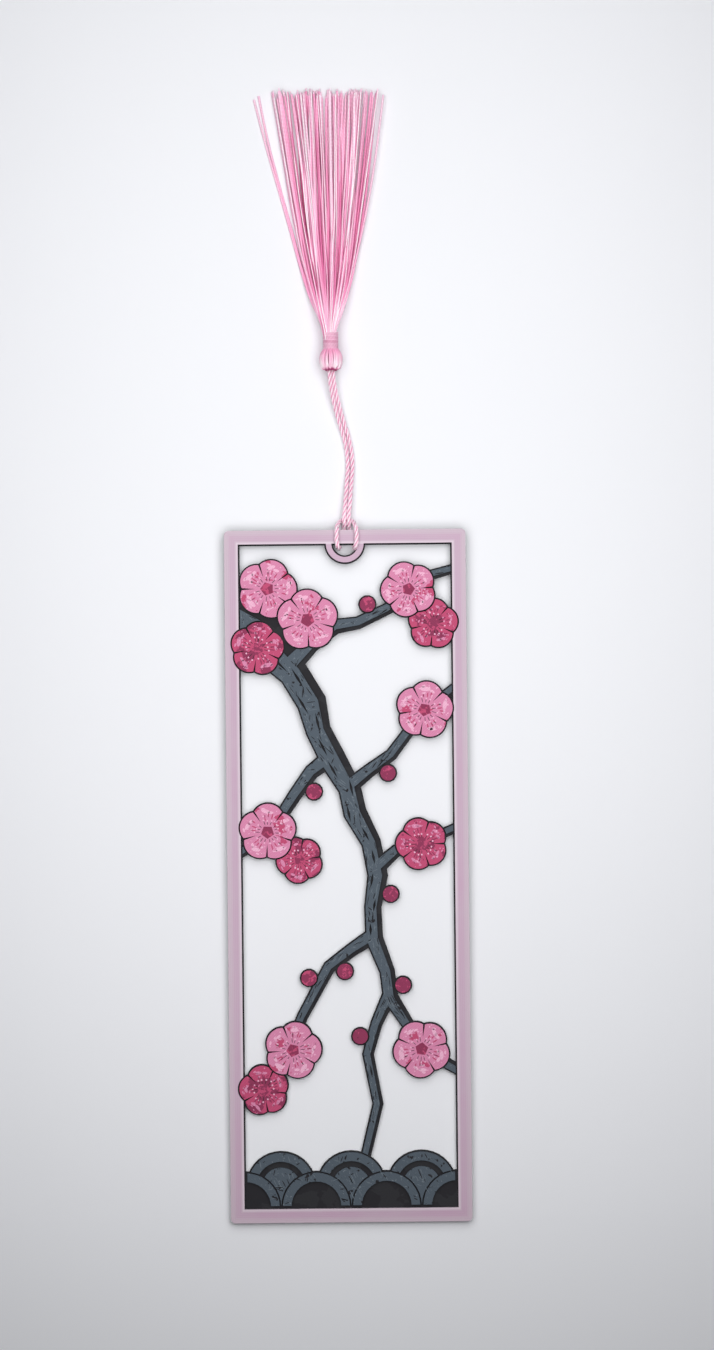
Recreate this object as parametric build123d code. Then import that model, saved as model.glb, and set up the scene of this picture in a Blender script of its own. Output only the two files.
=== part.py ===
from build123d import *
import os
from math import cos, pi, radians, sin, sqrt, tan

os.makedirs("parts", exist_ok=True)

# A flat openwork bookmark printed in stacked colours, with a tassel on a cord loop.
# It lies flat: X across, Y along, Z up. The origin is the middle of the printed panel.

# Printed panel, in millimetres
panel_width = 53.0
panel_length = 152.0
corner_radius = 1.0
bar_width = 3.0
outline = 0.35
base_thickness = 0.8
colour_thickness = 0.8
bark_thickness = 0.6
rose_thickness = 0.7
heart_thickness = 0.75

# Hanger eye, a half ring under the middle of the top bar
eye_hole_radius = 2.6
eye_band = 1.2
hanger_margin = 1.2

# Blossoms and buds
blossom_radius = 6.6
petal_count = 5
petal_share = 0.56
heart_share = 0.24
notch_share = 0.40
notch_width = 0.55
bud_radius = 1.7
bud_sink = 0.35
bud_sides = 14

# Bark: the black left on the side away from the light, and the strokes cut along the bough
limb_width = 7.8
light_fall = Vector(0.8, -0.6)
shade_share = 0.5
stroke_count = 13
stroke_width = 0.6
stroke_length_share = 0.9
stroke_start_share = 0.13
stroke_step_share = 0.045
stroke_sway_share = 0.42
stroke_lean_share = 0.22
stroke_turn = radians(137.5)

# Wave band at the foot
wave_count = 3
wave_rise = 4.6
wave_row_drop = 4.4
wave_band = 1.9
wave_gap = 1.3
scale_sides = 36

# Cord, hitched round the top bar
cord_diameter = 0.95
cord_sides = 6
wrap_clearance = 0.15
eye_clearance = 0.08
leg_gap = 0.07
wrap_radius = 0.9
bight_reach = 1.95
bight_lean = 1.3
behind_reach = 0.3
leg_reach = 1.65
exit_reach = 3.1
leg_rise = 1.075
arc_share = 0.45

# Tassel
head_radius = 2.5
head_length = 4.7
mouth_clearance = 0.315
mouth_wall = 0.35
head_sides = 12
knot_radius = 1.25
knot_length = 2.0
knot_clearance = 0.15
neck_radius = 1.12
neck_length = 3.7
wrap_thread = 0.5
wrap_turns = 3
wrap_sides = 5
wrap_seat = 0.03
wrap_margin = 0.3
skirt_length = 54.0
skirt_spread = 22.6
fan_lean = -0.55
tip_ragged = 0.024
ragged_step = 2.3
ragged_shift = 1.7
layer_strands = 12
lock_fill = 0.8
strand_thickness = 0.6
layer_gap = 0.06
root_gap = 0.15
root_slice = 1.0
stray_count = 2
stray_width = 0.55
stray_gap = 0.275

# Values that follow from them
half_width = panel_width / 2
half_length = panel_length / 2
window_half_width = half_width - bar_width - outline
window_half_length = half_length - bar_width - outline
top_z = colour_thickness
back_z = -base_thickness
cord_radius = cord_diameter / 2
surface_z = back_z - wrap_clearance - cord_diameter


def save(name, shape):
    shape.label = name
    export_step(shape, f"parts/{name}.step")


def together(shapes):
    return Sketch() + list(shapes)


def layer(sketch, thickness):
    return extrude(sketch, amount=thickness)


def place(x, y):
    """A point of the picture, given in shares of the window's half width and half length."""
    return x * window_half_width, y * window_half_length


# The frame and its eye
outer = RectangleRounded(panel_width, panel_length, corner_radius)
window = Rectangle(2 * window_half_width, 2 * window_half_length)
bar_edge = half_length - bar_width
eye_inner = eye_hole_radius + outline
eye_outer = eye_inner + eye_band
below_bar = Pos(0, bar_edge - panel_length / 2) * Rectangle(panel_width, panel_length)
below_line = Pos(0, -outline) * below_bar


def half_disc(radius, half_plane):
    return (Pos(0, bar_edge) * Circle(radius)) & half_plane


eye_black = half_disc(eye_outer + outline, below_bar)
eye_hole = half_disc(eye_hole_radius, below_line)
eye_mauve = half_disc(eye_outer, below_bar) - half_disc(eye_inner, below_bar)
hanger_half = eye_outer + outline + hanger_margin
hanger_strip = Pos(0, half_length) * Rectangle(2 * hanger_half, 2 * (bar_width + eye_outer + 2 * outline))
rim = outer - window
rim_with_eye = rim + eye_black - eye_hole

# The picture: a bough that hangs from the top left corner, with twigs out to the bars.
# Each limb is a list of points, in shares of the half window, with the share of the limb width there.
limbs = {
    "bough": [
        (-1.10, 0.795, 1.00), (-0.86, 0.755, 0.92), (-0.66, 0.665, 0.88), (-0.50, 0.615, 0.76),
        (-0.33, 0.525, 0.76), (-0.27, 0.440, 0.63), (-0.13, 0.350, 0.67), (0.02, 0.265, 0.56),
        (0.07, 0.190, 0.58), (0.22, 0.100, 0.47), (0.28, 0.000, 0.49), (0.23, -0.095, 0.40),
        (0.24, -0.190, 0.42), (0.36, -0.290, 0.35), (0.39, -0.370, 0.36), (0.55, -0.450, 0.28),
        (0.70, -0.530, 0.27), (1.08, -0.600, 0.22),
    ],
    "top twig": [
        (-0.56, 0.625, 0.51), (-0.33, 0.700, 0.38), (-0.10, 0.755, 0.35), (0.12, 0.765, 0.28),
        (0.42, 0.810, 0.26), (0.78, 0.905, 0.21), (1.08, 0.930, 0.19),
    ],
    "left twig": [
        (-0.13, 0.365, 0.44), (-0.34, 0.315, 0.35), (-0.50, 0.245, 0.31), (-0.74, 0.130, 0.24),
        (-1.08, 0.060, 0.21),
    ],
    "right twig": [
        (0.00, 0.265, 0.38), (0.22, 0.320, 0.31), (0.42, 0.365, 0.27), (0.72, 0.490, 0.23),
        (1.08, 0.580, 0.19),
    ],
    "short twig": [(0.26, 0.020, 0.36), (0.46, 0.075, 0.27), (0.68, 0.095, 0.23), (1.08, 0.150, 0.19)],
    "low twig": [
        (0.24, -0.180, 0.38), (0.02, -0.225, 0.31), (-0.19, -0.275, 0.28), (-0.45, -0.425, 0.24),
        (-0.66, -0.585, 0.22), (-1.08, -0.690, 0.19),
    ],
    "hanging twig": [
        (0.38, -0.360, 0.33), (0.25, -0.450, 0.26), (0.17, -0.540, 0.24), (0.26, -0.690, 0.22),
        (0.12, -0.870, 0.21),
    ],
}
# Blossoms from back to front: place, share of the blossom radius, turn in degrees, and colour
blossoms = [
    (-0.84, 0.690, 0.88, 10, "rose"),
    (-0.74, 0.870, 0.97, 0, "pink"),
    (-0.36, 0.775, 1.00, 20, "pink"),
    (0.83, 0.760, 0.82, 12, "rose"),
    (0.60, 0.865, 0.91, 40, "pink"),
    (0.74, 0.500, 0.94, 8, "pink"),
    (-0.46, 0.050, 0.76, 44, "rose"),
    (-0.76, 0.135, 0.94, 16, "pink"),
    (0.70, 0.095, 0.85, 36, "rose"),
    (-0.82, -0.645, 0.82, 28, "rose"),
    (-0.54, -0.525, 0.94, 4, "pink"),
    (0.68, -0.525, 0.94, 48, "pink"),
]
# Buds: the limb, the share of its length, and the side that the bud sits on, left or right
buds = [
    ("top twig", 0.51, 1), ("left twig", 0.29, 1), ("right twig", 0.27, -1), ("bough", 0.60, 1),
    ("bough", 0.78, 1), ("low twig", 0.20, 1), ("low twig", 0.33, -1), ("hanging twig", 0.275, -1),
]


def limb_stops(name):
    return [(Vector(*place(x, y)), share * limb_width / 2) for x, y, share in limbs[name]]


def left_of(heading):
    return Vector(-heading.Y, heading.X)


def limb_shape(name, grow, left=1.0, right=1.0):
    """A tapering limb as one outline, down one side and back up the other, mitred at each point.
    Each side has a share of the half width."""
    stops = limb_stops(name)
    headings = [(b - a).normalized() for (a, _), (b, _) in zip(stops, stops[1:])]
    left_side = []
    right_side = []
    for index, (spot, half) in enumerate(stops):
        before = headings[max(index - 1, 0)]
        after = headings[min(index, len(headings) - 1)]
        along = (before + after).normalized()
        off = left_of(along) * (1 / along.dot(after))
        left_side.append(spot + off * (half * left + grow))
        right_side.append(spot - off * (half * right + grow))
    return make_face(Polyline(*left_side, *reversed(right_side), close=True))


def along_limb(name, share):
    """The place, the heading and the half width at a share of a limb's length."""
    stops = limb_stops(name)
    spans = list(zip(stops, stops[1:]))
    rest = share * sum((b - a).length for (a, _), (b, _) in spans)
    for (a, half_a), (b, half_b) in spans:
        run = (b - a).length
        if rest <= run:
            return a + (b - a) * (rest / run), (b - a).normalized(), half_a + (half_b - half_a) * rest / run
        rest -= run


def grey_limb(name):
    """The coloured side of a limb: on the side away from the light it stops short and leaves black."""
    stops = limb_stops(name)
    run = stops[-1][0] - stops[0][0]
    if left_of(run).dot(light_fall) > 0:
        return limb_shape(name, 0, left=1 - shade_share)
    return limb_shape(name, 0, right=1 - shade_share)


def bark_stroke(index):
    """A lozenge cut along the bough, beside its middle by a wave of the index."""
    spot, heading, half = along_limb("bough", stroke_start_share + stroke_step_share * index)
    beside = left_of(heading)
    middle = spot + beside * half * (stroke_sway_share * sin(stroke_turn * index) - stroke_lean_share)
    ends = heading * (half * stroke_length_share)
    sides = beside * (stroke_width / 2)
    return make_face(Polyline(middle + ends, middle + sides, middle - ends, middle - sides, close=True))


def seat(blossom):
    """Where a blossom sits, turned, and its radius."""
    x, y, share, turn, _ = blossom
    return Pos(*place(x, y)) * Rot(0, 0, turn), share * blossom_radius


def round_heart(spot, shape, start=0.0):
    """A shape repeated round a blossom's heart, from a share of the step between petals."""
    step = 360 / petal_count
    return [spot * Rot(0, 0, (index + start) * step) * shape for index in range(petal_count)]


def blossom_shape(blossom, grow):
    """Round petals in a ring, over a polygon that closes the middle."""
    spot, radius = seat(blossom)
    petal = radius * petal_share
    ring = radius - petal
    return together([spot * RegularPolygon(ring, petal_count)]
                    + round_heart(spot, Pos(ring, 0) * Circle(petal + grow)))


def heart_shape(blossom):
    spot, radius = seat(blossom)
    return spot * Rot(0, 0, 180 / petal_count) * RegularPolygon(radius * heart_share, petal_count)


def notch_shapes(blossom):
    """Wedges between the petals, from the rim in towards the heart, where the black shows."""
    spot, radius = seat(blossom)
    rim_half = notch_width / 2
    wedge = Polyline((notch_share * radius, 0), (radius, rim_half), (radius, -rim_half), close=True)
    return together(round_heart(spot, make_face(wedge), start=0.5))


def bud_shape(bud, grow):
    """A round bud seated on the side of a limb, sunk a little into the limb's black edge."""
    limb, share, side = bud
    spot, heading, half = along_limb(limb, share)
    middle = spot + left_of(heading) * (side * (half + bud_radius + outline - bud_sink))
    return Pos(middle.X, middle.Y) * RegularPolygon(bud_radius + grow, bud_sides)


# The wave band: two rows of round scales, the front row half a scale along
wave_radius = window_half_width / wave_count
wave_line = -window_half_length + wave_rise
back_row = [(wave_radius * (2 * i + 1) - window_half_width, wave_line) for i in range(wave_count)]
front_row = [
    (wave_radius * 2 * i - window_half_width, wave_line - wave_row_drop) for i in range(wave_count + 1)
]


def scales(row, radius):
    return together(Pos(x, y) * RegularPolygon(radius, scale_sides) for x, y in row)


def rims(row):
    """The coloured rims of one row."""
    rim_radius = wave_radius - outline
    return scales(row, rim_radius) - scales(row, rim_radius - wave_band)


wave_foot_height = wave_line + window_half_length
wave_foot = Pos(0, wave_line - wave_foot_height / 2) * Rectangle(2 * window_half_width, wave_foot_height)
wave_black = (scales(back_row, wave_radius) + wave_foot + scales(front_row, wave_radius)) & window
wave_middles = scales(back_row, wave_radius - outline - wave_band - wave_gap)
wave_front = rims(front_row)
wave_back = rims(back_row) + wave_middles - scales(front_row, wave_radius)
wave_inset = Rectangle(2 * (window_half_width - outline), 2 * (window_half_length - outline))
wave_grey = (wave_front + wave_back) & wave_inset


def closed_up(sketch):
    """A sketch with the slivers closed that its shapes leave between them."""
    return together(make_face(face.outer_wire()) for face in sketch.faces())


# Black shapes behind the colours
limb_black = together(limb_shape(name, outline) for name in limbs)
blossom_blacks = [blossom_shape(b, outline) for b in blossoms]
bud_black = together(bud_shape(b, outline) for b in buds)
flower_black = together(blossom_blacks)
picture_black = closed_up((limb_black + flower_black + bud_black + wave_black) & window) - eye_black

# Colours on top, each cut back from what lies over it
mauve_window = Rectangle(2 * (half_width - bar_width), 2 * bar_edge)
frame_mauve = outer - mauve_window + eye_mauve - flower_black
limb_grey = together(grey_limb(name) for name in limbs)
strokes = together(bark_stroke(index) for index in range(stroke_count))
bark_grey = (limb_grey & window) - flower_black - bud_black - wave_black - eye_black - strokes


def in_view(shape, index):
    """What shows of a blossom's shape under the blossoms that come after it."""
    for over in blossom_blacks[index + 1:]:
        shape = shape - over
    return shape


petals = {"rose": [], "pink": []}
hearts = []
for index, blossom in enumerate(blossoms):
    heart = heart_shape(blossom)
    petal_ring = blossom_shape(blossom, 0) - heart - notch_shapes(blossom)
    petals[blossom[-1]].append(in_view(petal_ring, index))
    hearts.append(in_view(heart, index))
bud_rose = together(bud_shape(b, 0) for b in buds) - flower_black

# Printed nodes
lower = Pos(0, 0, back_z)
save("base_frame", lower * layer(rim - hanger_strip, base_thickness))
save("base_hanger", lower * layer(rim_with_eye & hanger_strip, base_thickness))
save("base_picture", lower * layer(picture_black, base_thickness))
save("frame_border", layer(frame_mauve, colour_thickness))
save("bark", layer(bark_grey, bark_thickness))
save("wave_scales", layer(wave_grey, bark_thickness))
save("petals_rose", layer(together(petals["rose"]), rose_thickness))
save("petals_pink", layer(together(petals["pink"]), colour_thickness))
save("flower_hearts", layer(together(hearts), heart_thickness))
save("buds", layer(bud_rose, rose_thickness))


def tube(points, radii, name):
    """A round cord along straight runs joined by tangent arcs, with its volume beside its length."""
    path = FilletPolyline(*points, radius=radii)
    section = Plane(origin=path @ 0, z_dir=path % 0) * RegularPolygon(cord_radius, cord_sides)
    solid = sweep(section, path=path)
    expected = section.area * path.length
    print(f"{name}: length {path.length:.2f}, volume {solid.volume:.3f} against {expected:.3f}")
    print(f"{name}: radii", [round(r, 2) for r in radii])
    return solid


def free_radii(points):
    """The largest tangent arc that each pair of runs allows."""
    radii = []
    for before, corner, after in zip(points, points[1:], points[2:]):
        first = Vector(*corner) - Vector(*before)
        second = Vector(*after) - Vector(*corner)
        turn = radians(first.get_angle(second))
        radii.append(arc_share * min(first.length, second.length) / tan(turn / 2))
    return radii


# The hitch: the loop's fold lies behind the legs at the bar's top edge, the strands cross
# the front of the bar, go down through the eye and come up behind the bar as the legs.
strand_z = top_z + wrap_clearance + cord_radius
under_z = back_z - wrap_clearance - cord_radius
eye_pass = bar_edge - outline - wrap_clearance - cord_radius
strand_reach = eye_hole_radius - eye_clearance - cord_radius
strand_offset = sqrt(strand_reach**2 - (bar_edge - eye_pass) ** 2)
leg_half = (cord_diameter + leg_gap) / 2
leg_z = under_z + leg_rise
bight_y = half_length + bight_reach
over_y = bight_y - bight_lean
behind_y = half_length + behind_reach
leg_y = half_length + leg_reach
exit_y = half_length + exit_reach

# The free legs: the middle of the pair, as reach past the bar's edge, side shift, height
# above the surface at the cord's middle, and roll of the pair in degrees
leg_route = [
    (5.4, 0.0, leg_rise, 0),
    (10.0, 0.25, 0.42, 0),
    (14.6, 0.75, 0.0, 0),
    (19.2, 0.40, 0.03, 2),
    (23.8, -0.70, 0.28, 8),
    (28.0, -1.70, 0.88, 18),
    (31.8, -2.35, 1.55, 32),
    (34.9, -2.60, 1.95, 43),
]


def leg_points(side):
    points = []
    for reach, shift, height, roll in leg_route:
        across = side * leg_half * cos(radians(roll))
        rise = -side * leg_half * sin(radians(roll))
        points.append((shift + across, half_length + reach, under_z + height + rise))
    return points


def middle(a, b):
    return tuple((p + q) / 2 for p, q in zip(a, b))


def hitch_half(side):
    x = side * strand_offset
    return [
        (x, bight_y, under_z),
        (x, over_y, strand_z),
        (x, eye_pass, strand_z),
        (x, eye_pass, under_z),
        (side * leg_half, behind_y, under_z),
        (side * leg_half, leg_y, leg_z),
        (side * leg_half, exit_y, leg_z),
    ]


hitch_points = list(reversed(hitch_half(-1))) + hitch_half(1)
half_radii = [wrap_radius] * 6
save("cord_hitch", tube(hitch_points, half_radii + half_radii, "cord_hitch"))

roots = []
for side, name in ((-1, "cord_leg_left"), (1, "cord_leg_right")):
    route = leg_points(side)
    root_end = middle(route[0], route[1])
    root_points = [(side * leg_half, exit_y, leg_z), route[0], root_end]
    roots.append(tube(root_points, free_radii(root_points), "cord_root"))
    free_points = [root_end] + route[1:]
    save(name, tube(free_points, free_radii(free_points), name))
save("cord_root", Compound(children=[root.solid() for root in roots]))

# The tassel lies along Y. Its head rests on the surface and takes the end of the cord.
mouth_y = half_length + leg_route[-1][0]
axis_x = leg_route[-1][1]
axis_z = surface_z + head_radius
neck_y = mouth_y + head_length
skirt_y = neck_y + neck_length
on_axis = Pos(axis_x, mouth_y, axis_z)

# The head swells from its mouth and draws in to the neck: shares of its length and radius
swell = [(0.16, 0.86), (0.42, 1.0), (0.66, 0.88), (0.86, 0.64)]
mouth_bore_radius = leg_half + cord_radius + mouth_clearance
rings_of_head = [(0, mouth_bore_radius + mouth_wall)]
rings_of_head += [(along * head_length, swollen * head_radius) for along, swollen in swell]
rings_of_head += [(head_length, neck_radius), (head_length + neck_length, neck_radius)]


def on_ring(y, radius):
    plane = Plane(origin=(0, y, 0), x_dir=(1, 0, 0), z_dir=(0, 1, 0))
    return plane * RegularPolygon(radius, head_sides)


head = loft([on_ring(y, radius) for y, radius in rings_of_head], ruled=True)
knot_y = head_length / 2


def upright(radius, start, end, sides):
    plane = Plane(origin=(0, start, 0), x_dir=(1, 0, 0), z_dir=(0, 1, 0))
    return extrude(plane * RegularPolygon(radius, sides), amount=end - start)


knot_half = knot_length / 2
cavity = upright(knot_radius + knot_clearance, knot_y - knot_half - knot_clearance,
                 knot_y + knot_half + knot_clearance, cord_sides)
bore = upright(mouth_bore_radius, 0, knot_y, head_sides)
save("tassel_head", on_axis * (head - cavity - bore))

# The loop's two ends run into the knot inside the head
knot = on_axis * chamfer(
    upright(knot_radius, knot_y - knot_half, knot_y + knot_half, cord_sides).edges().group_by(Axis.Y)[-1],
    knot_half / 2,
)
for side in (-1, 1):
    route = leg_points(side)
    heading = (Vector(*route[-1]) - Vector(*route[-2])).normalized()
    into_head = Line(route[-1], Vector(*route[-1]) + heading * knot_y)
    section = Plane(origin=into_head @ 0, z_dir=into_head % 0) * RegularPolygon(cord_radius, cord_sides)
    knot = knot + sweep(section, path=into_head)
save("loop_knot", knot)

# The thread wound round the neck: a helix of two arcs to each quarter turn
wind_radius = neck_radius + wrap_seat + wrap_thread / 2
wind_pitch = (neck_length - 2 * wrap_margin) / wrap_turns


def wind_point(quarter):
    angle = quarter * pi / 2
    along = head_length + wrap_margin + wind_pitch * quarter / 4
    return Vector(wind_radius * cos(angle), along, wind_radius * sin(angle))


def wind_heading(quarter):
    angle = quarter * pi / 2
    return Vector(-wind_radius * sin(angle), wind_pitch / (2 * pi), wind_radius * cos(angle)).normalized()


def two_arcs(start, start_heading, end, end_heading):
    """A pair of arcs that meet smoothly, from one point and heading to another."""
    span = end - start
    both = start_heading + end_heading
    bend = 2 * (1 - start_heading.dot(end_heading))
    along = span.dot(both)
    reach = (sqrt(along**2 + bend * span.dot(span)) - along) / bend
    joint = (start + start_heading * reach + end - end_heading * reach) * 0.5
    joint_heading = (end - end_heading * reach - start - start_heading * reach).normalized()
    return [
        TangentArc(start, joint, tangent=start_heading),
        TangentArc(joint, end, tangent=joint_heading),
    ]


quarters = 4 * wrap_turns
wind_edges = [Line(wind_point(0) - wind_heading(0) * wrap_thread, wind_point(0))]
for quarter in range(quarters):
    ends = (wind_point(quarter), wind_heading(quarter), wind_point(quarter + 1), wind_heading(quarter + 1))
    wind_edges += two_arcs(*ends)
wind_edges.append(Line(wind_point(quarters), wind_point(quarters) + wind_heading(quarters) * wrap_thread))
wind_path = Wire(wind_edges)
wind_start = Plane(origin=wind_path @ 0, z_dir=wind_path % 0)
wind_section = wind_start * RegularPolygon(wrap_thread / 2, wrap_sides)
save("neck_wrap", on_axis * sweep(wind_section, path=wind_path))
turn_steps = 40
turn_points = [wind_point(4 * i / turn_steps) for i in range(turn_steps * wrap_turns + 1)]
apart = [(p - q).length for i, p in enumerate(turn_points) for q in turn_points[i + turn_steps // 2:]]
print(f"neck_wrap: least gap to itself {min(apart) - wrap_thread:.2f}")

# The skirt: three layers of locks, fanned over the surface. Each stop is the share of the
# skirt's length and of its spread there.
layer_pitch = strand_thickness + layer_gap
root_pitch = strand_thickness + root_gap
fan = [(0.01, 0.145), (0.21, 0.40), (0.49, 0.66), (1.0, 1.0)]
root_width = fan[0][1] * skirt_spread


def lock(stops):
    """A four-sided lock through (x, y, z, width, thickness) stops."""
    sections = []
    for x, y, z, width, thickness in stops:
        plane = Plane(origin=(x, y, z), x_dir=(1, 0, 0), z_dir=(0, 1, 0))
        sections.append(plane * Rectangle(width, thickness))
    return loft(sections, ruled=True)


def fan_lock(across, tier, length_share):
    """A lock at a place across the fan, from -1 to 1, in tier 0, 1 or 2 from below."""
    stops = []
    for share, spread in fan:
        pitch = spread * skirt_spread / (layer_strands - 1)
        x = axis_x + across * spread * skirt_spread / 2 + fan_lean * share**2
        y = skirt_y + share * skirt_length * (length_share if share == 1.0 else 1)
        low = surface_z + strand_thickness / 2 + tier * layer_pitch
        high = axis_z + (tier - 1) * root_pitch
        z = high + (low - high) * min(1.0, share / fan[1][0])
        stops.append((x, y, z, lock_fill * pitch, strand_thickness))
    return lock(stops)


for tier, name in enumerate(("skirt_lower", "skirt_middle", "skirt_upper")):
    slab_z = axis_z + (tier - 1) * root_pitch
    slab = Box(root_width + layer_gap, root_slice, strand_thickness)
    locks = []
    for index in range(layer_strands):
        across = 2 * index / (layer_strands - 1) - 1
        length_share = 1 - tip_ragged * (1 + sin(ragged_step * index + ragged_shift * tier)) / 2
        locks.append(fan_lock(across, tier, length_share))
    save(name, (Pos(axis_x, skirt_y + root_slice / 2, slab_z) * slab).fuse(*locks))

# A pair of threads that has come away on the left: reach from the axis, share of the length
stray_route = [(root_width / 2 + stray_width, fan[0][0]), (5.7, 0.21), (9.3, 0.55), (15.4, 0.97)]
strays = []
for index in range(stray_count):
    stops = []
    for reach, share in stray_route:
        x = axis_x - reach - index * (stray_width + stray_gap)
        low = surface_z + strand_thickness / 2
        z = axis_z + (low - axis_z) * min(1.0, share / fan[1][0])
        stops.append((x, skirt_y + share * skirt_length, z, stray_width, strand_thickness))
    strays.append(lock(stops))
save("stray_strands", Compound(children=[stray.solid() for stray in strays]))
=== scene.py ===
"""The looks of a printed openwork bookmark with a tassel, built around its packed model."""

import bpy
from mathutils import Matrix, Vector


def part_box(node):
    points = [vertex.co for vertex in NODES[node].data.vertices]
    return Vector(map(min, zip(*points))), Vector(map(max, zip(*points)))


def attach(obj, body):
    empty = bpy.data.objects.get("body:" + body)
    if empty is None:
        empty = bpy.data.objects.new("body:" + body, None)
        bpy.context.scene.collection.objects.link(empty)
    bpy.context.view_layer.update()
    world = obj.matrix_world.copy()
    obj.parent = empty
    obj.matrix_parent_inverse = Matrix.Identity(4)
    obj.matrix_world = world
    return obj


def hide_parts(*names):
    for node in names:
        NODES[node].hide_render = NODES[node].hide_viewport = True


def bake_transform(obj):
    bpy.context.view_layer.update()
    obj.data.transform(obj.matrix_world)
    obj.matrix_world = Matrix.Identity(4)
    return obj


bl_info = {
    "name": "Tasselled bookmark",
    "version": (1, 0, 0),
    "blender": (4, 5, 0),
    "location": "View3D > Sidebar > Bookmark",
    "description": "Finishes a printed openwork bookmark, its cord and its tassel",
    "category": "Object",
}

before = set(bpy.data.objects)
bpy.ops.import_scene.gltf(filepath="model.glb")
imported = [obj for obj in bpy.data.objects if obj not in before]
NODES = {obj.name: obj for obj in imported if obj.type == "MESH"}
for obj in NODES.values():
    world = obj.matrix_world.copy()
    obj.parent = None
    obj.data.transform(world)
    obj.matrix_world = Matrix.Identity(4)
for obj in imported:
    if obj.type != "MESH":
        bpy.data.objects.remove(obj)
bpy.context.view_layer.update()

import math
import random

import bmesh
import bpy
from bpy.props import FloatProperty, FloatVectorProperty, IntProperty, PointerProperty
from mathutils import Matrix, Vector
from mathutils.bvhtree import BVHTree
from mathutils.kdtree import KDTree

MM = 0.001
PANEL_LOW, PANEL_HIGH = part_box("frame_border")
BASE_LOW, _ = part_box("base_frame")
HEAD_LOW, HEAD_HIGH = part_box("tassel_head")
WRAP_LOW, WRAP_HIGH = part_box("neck_wrap")
SKIRT_LOW, SKIRT_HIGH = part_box("skirt_middle")
HITCH_LOW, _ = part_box("cord_hitch")
STRAY_LOW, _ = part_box("stray_strands")
SURFACE = HITCH_LOW.z
AXIS_X = (HEAD_LOW.x + HEAD_HIGH.x) / 2
AXIS_Z = (HEAD_LOW.z + HEAD_HIGH.z) / 2
MOUTH_Y = HEAD_LOW.y
SKIRT_Y = HEAD_HIGH.y
SEEDS = {"blossoms": 41, "bark": 57, "head": 11, "wrap": 3, "skirt": 20, "painted_glints": 29, "strays": 31}

# The cord's route, in millimetres. One half of the hitch, from the fold behind the legs, over the
# front of the bar, down through the eye, up behind the bar and out above the fold.
HITCH_ROUTE = [
    (0.0, 78.25, -1.36), (0.85, 78.22, -1.36), (1.42, 77.95, -1.15), (1.70, 77.45, -0.10),
    (1.95, 77.00, 0.95), (2.12, 76.35, 1.50), (2.20, 75.30, 1.46), (2.20, 73.70, 1.46),
    (2.02, 72.50, 1.50), (1.74, 72.00, 0.95), (1.70, 72.00, -0.95), (1.64, 72.40, -1.40),
    (1.40, 73.40, -1.37), (0.80, 75.50, -1.36), (0.52, 76.50, -1.36), (0.51, 77.20, -0.85),
    (0.51, 77.80, -0.30), (0.51, 78.60, -0.33), (0.51, 79.10, -0.35),
]
# The free legs: the middle of the pair (x, y, z) and the roll of the pair in degrees
LEG_ROUTE = [
    (0.70, 81.4, -0.35, 0), (1.05, 86.0, -1.005, 0), (1.50, 90.6, -1.39, 0), (0.95, 95.2, -1.38, 2),
    (-0.45, 99.8, -1.145, 8), (-1.60, 104.0, -0.545, 18), (-2.35, 107.8, 0.125, 32),
    (-2.60, 110.9, 0.525, 43), (-2.60, 113.8, 0.59, 43), (-2.60, 116.5, 0.60, 43),
]
LEG_HALF = 0.51
# The hitch lies this far to the right of the eye's middle
HITCH_SHIFT = 0.43
# Where the rope is cut into pieces, along Y
ROOT_CUT = 81.4
LEG_CUT = 86.0
# How much thicker the plies are than plies that only touch, so that they press into each other
LEG_FULLNESS = 1.13
HITCH_FULLNESS = 1.25
# Threads of each layer of the skirt, as a share of the lowest layer's
SKIRT_LAYERS = {"skirt_lower": 1.0, "skirt_middle": 0.75, "skirt_upper": 0.58}


def srgb(red, green, blue):
    """A colour in steps of 0 to 255, as linear light."""

    def linear(step):
        share = step / 255
        return share / 12.92 if share <= 0.04045 else ((share + 0.055) / 1.055) ** 2.4

    return linear(red), linear(green), linear(blue)


def clamp(value):
    return min(1.0, max(0.0, value))


def colour_prop(name, description, steps):
    return FloatVectorProperty(
        name=name, description=description, subtype="COLOR", size=3, min=0, max=1, default=srgb(*steps)
    )


def length_prop(name, description, default):
    return FloatProperty(
        name=name, description=description, subtype="DISTANCE", unit="LENGTH", default=default
    )


def power_prop(name, description, default):
    return FloatProperty(name=name, description=description, subtype="POWER", default=default)


def count_prop(name, description, default, least, most=500):
    return IntProperty(name=name, description=description, default=default, min=least, max=most)


class PrintLook(bpy.types.PropertyGroup):
    """Colours and line widths of the printed layers"""

    mauve: colour_prop("Mauve", "Frame", (188, 162, 181))
    # Painted highlights: the frame's colour along its rounded edges, and on its last printed line along the
    # opening
    mauve_edge_highlight: colour_prop("Mauve edge", "Frame along its edges", (193, 174, 187))
    mauve_line_highlight: colour_prop("Mauve line", "Last line along the frame's opening", (212, 196, 208))
    black: colour_prop("Black", "Base layer", (30, 29, 33))
    grey: colour_prop("Grey", "Bark and waves", (80, 90, 100))
    rose: colour_prop("Rose", "Darker blossoms", (190, 76, 114))
    pink: colour_prop("Pink", "Lighter blossoms", (214, 134, 170))
    pale: colour_prop("Pale pink", "Highlights on petals", (236, 178, 205))
    deep: colour_prop("Deep rose", "Hearts and shade", (140, 52, 86))
    line_width: length_prop("Line width", "Width of one printed line", 0.42 * MM)
    layer_height: length_prop("Layer height", "Height of one printed layer", 0.2 * MM)


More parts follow.
